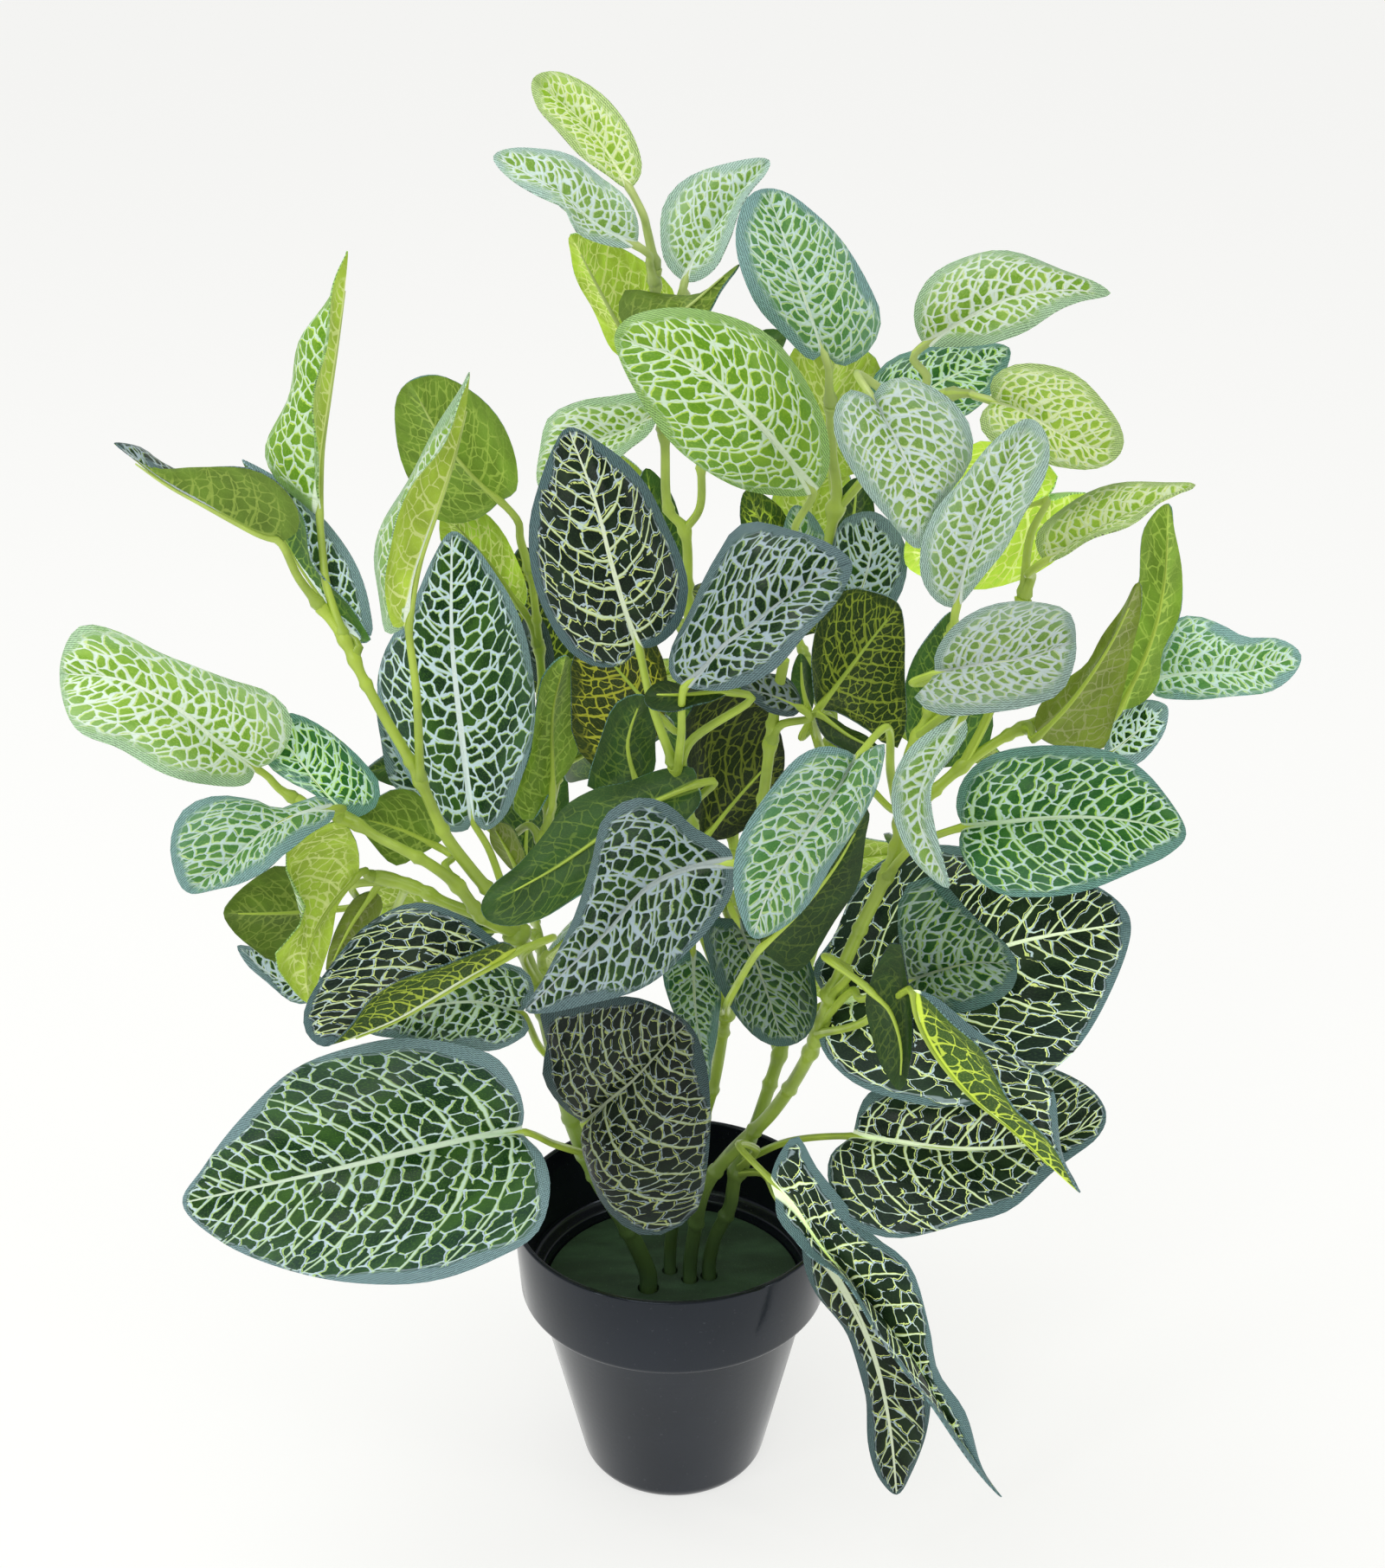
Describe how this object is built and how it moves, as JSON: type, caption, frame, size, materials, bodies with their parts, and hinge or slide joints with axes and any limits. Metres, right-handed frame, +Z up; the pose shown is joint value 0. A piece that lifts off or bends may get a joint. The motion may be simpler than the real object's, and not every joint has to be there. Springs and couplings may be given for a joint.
{
  "type": "artificial potted plant",
  "caption": "Artificial nerve plant: moulded leafy stems with netted printed leaves, standing in a weighted filler inside a small tapered pot with a wide collar",
  "frame": {"origin": "centre of the flat underside of the pot, on the surface the plant stands on", "axes": "+Z up along the pot's axis; -Y towards the viewer of the picture, +X to the viewer's right"},
  "size_m": [0.3653, 0.2688, 0.4783],
  "materials": {
    "pot_plastic": "gloss",
    "filler_green": "matt",
    "leaf_stem": "satin"
  },
  "bodies": {
    "root": {"pot": "pot_plastic", "filler": "filler_green", "stem_left": "leaf_stem", "stem_right": "leaf_stem", "stem_middle": "leaf_stem", "stem_centre": "leaf_stem"}
  },
  "joints": []
}
